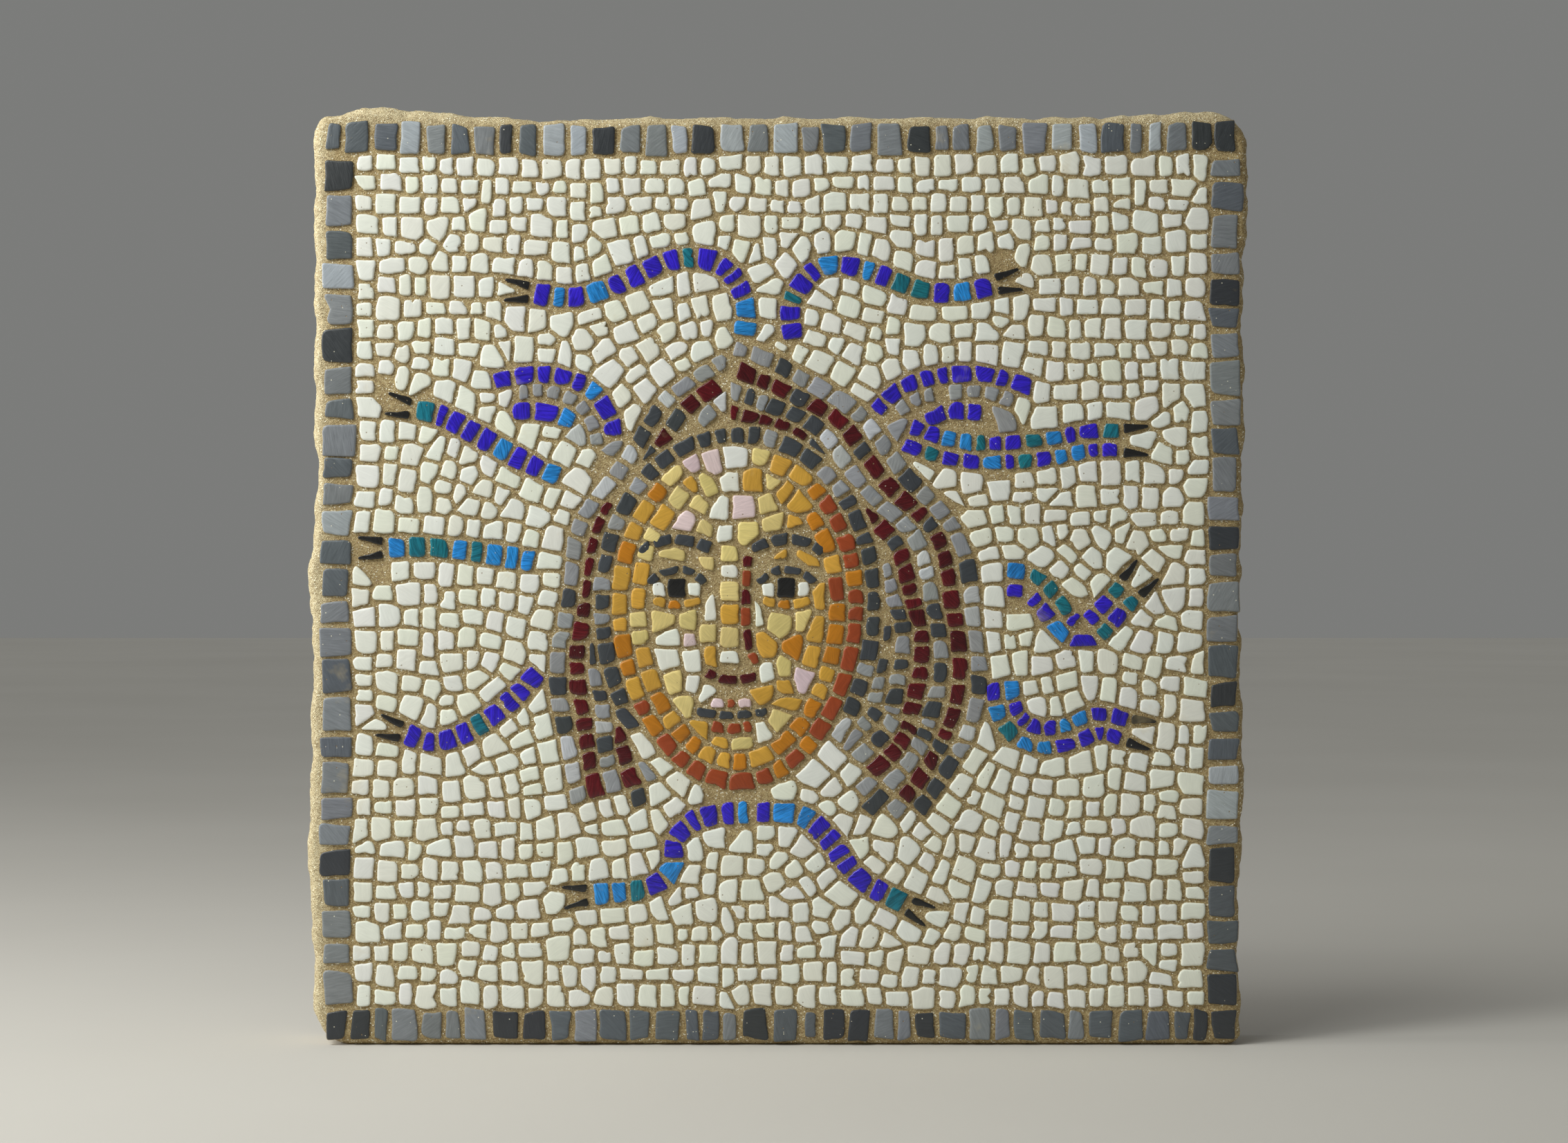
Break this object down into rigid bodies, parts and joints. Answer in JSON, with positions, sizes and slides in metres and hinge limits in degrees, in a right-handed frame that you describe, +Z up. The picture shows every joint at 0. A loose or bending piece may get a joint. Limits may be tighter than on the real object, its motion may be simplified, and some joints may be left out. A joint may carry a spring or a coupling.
{
  "type": "mosaic panel",
  "caption": "Square wall plaque cast in sand and binder as a small-stone mosaic: grey frame, white ground, a calm snake-haired head with wings, painted by hand.",
  "frame": {"origin": "middle of the flat back, where the panel is held to a wall", "axes": "+Y out of the back into the wall, so the picture faces -Y; +Z up, +X to the right of someone facing the picture"},
  "size_m": [0.3031, 0.0228, 0.3021],
  "materials": {
    "sand_mortar": "rough sand with small sparkling grains",
    "white_paint": "satin paint on cast stone",
    "grey_paint": "satin brushed paint on cast stone",
    "blue_paint": "glossy streaky paint on cast stone",
    "crimson_paint": "glossy paint on cast stone",
    "flesh_paint": "satin paint on cast stone",
    "black_paint": "glossy paint on cast stone"
  },
  "bodies": {
    "root": {"mosaic_panel": "sand_mortar"}
  },
  "joints": []
}
